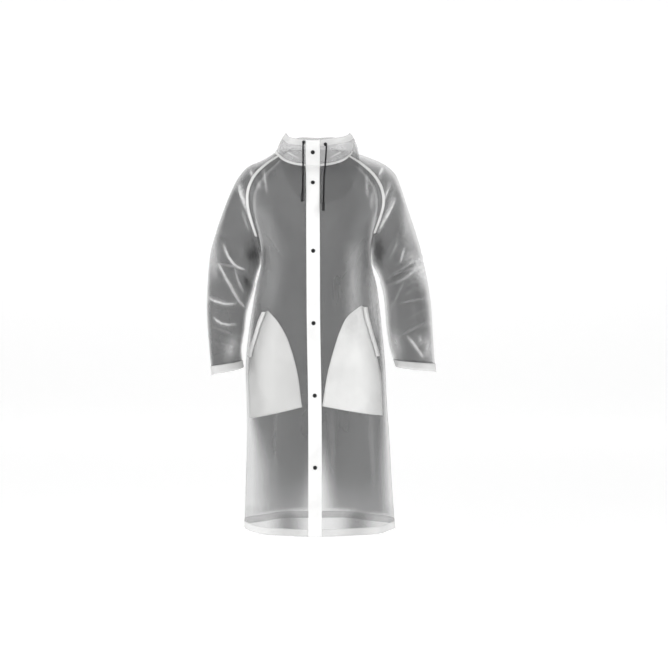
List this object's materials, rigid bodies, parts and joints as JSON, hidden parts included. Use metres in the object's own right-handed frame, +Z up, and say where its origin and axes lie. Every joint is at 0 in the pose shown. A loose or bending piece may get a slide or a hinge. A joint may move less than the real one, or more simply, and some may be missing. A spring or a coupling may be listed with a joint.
{
  "type": "translucent hooded raincoat",
  "caption": "Long frosted-clear raincoat, hollow and open at neck, cuffs and hem, with raglan sleeves, snap placket, slanted pockets and a lowered hood with drawcords.",
  "frame": {"origin": "inside the neckline at the height of the shoulders, where the wearer's neck and shoulders hold the coat up", "axes": "+Z up, the front faces -Y, the wearer's left is at +X"},
  "size_m": [0.7089, 0.4142, 1.2255],
  "materials": {
    "film": "soft frosted translucent film, faint sheen",
    "doubled_film": "two or three welded layers of the same film, reading white",
    "black_metal": "black satin",
    "cord": "black round cord"
  },
  "bodies": {
    "root": {"back": "film", "front_left": "film", "front_right": "film", "sleeve_left": "film", "sleeve_right": "film", "hood": "film", "hood_channel": "doubled_film", "placket_top": "doubled_film", "placket_under": "doubled_film", "pocket_bag_left": "doubled_film", "pocket_bag_right": "doubled_film", "pocket_welt_left": "doubled_film", "pocket_welt_right": "doubled_film", "hem_band": "doubled_film", "cuff_band_left": "doubled_film", "cuff_band_right": "doubled_film", "neck_tape": "doubled_film", "raglan_tape_front_left": "doubled_film", "raglan_tape_front_right": "doubled_film", "raglan_tape_back_left": "doubled_film", "raglan_tape_back_right": "doubled_film", "side_tape_left": "doubled_film", "side_tape_right": "doubled_film", "sleeve_tape_left": "doubled_film", "sleeve_tape_right": "doubled_film", "eyelet_left": "black_metal", "eyelet_right": "black_metal", "cord_tip_left": "black_metal", "cord_tip_right": "black_metal", "snap_cap_1": "black_metal", "snap_cap_2": "black_metal", "snap_cap_3": "black_metal", "snap_cap_4": "black_metal", "snap_cap_5": "black_metal", "snap_cap_6": "black_metal", "snap_stud_1": "black_metal", "snap_stud_2": "black_metal", "snap_stud_3": "black_metal", "snap_stud_4": "black_metal", "snap_stud_5": "black_metal", "snap_stud_6": "black_metal", "snap_back_1": "black_metal", "snap_back_2": "black_metal", "snap_back_3": "black_metal", "snap_back_4": "black_metal", "snap_back_5": "black_metal", "snap_back_6": "black_metal", "drawcord_left": "cord", "drawcord_right": "cord"}
  },
  "joints": []
}
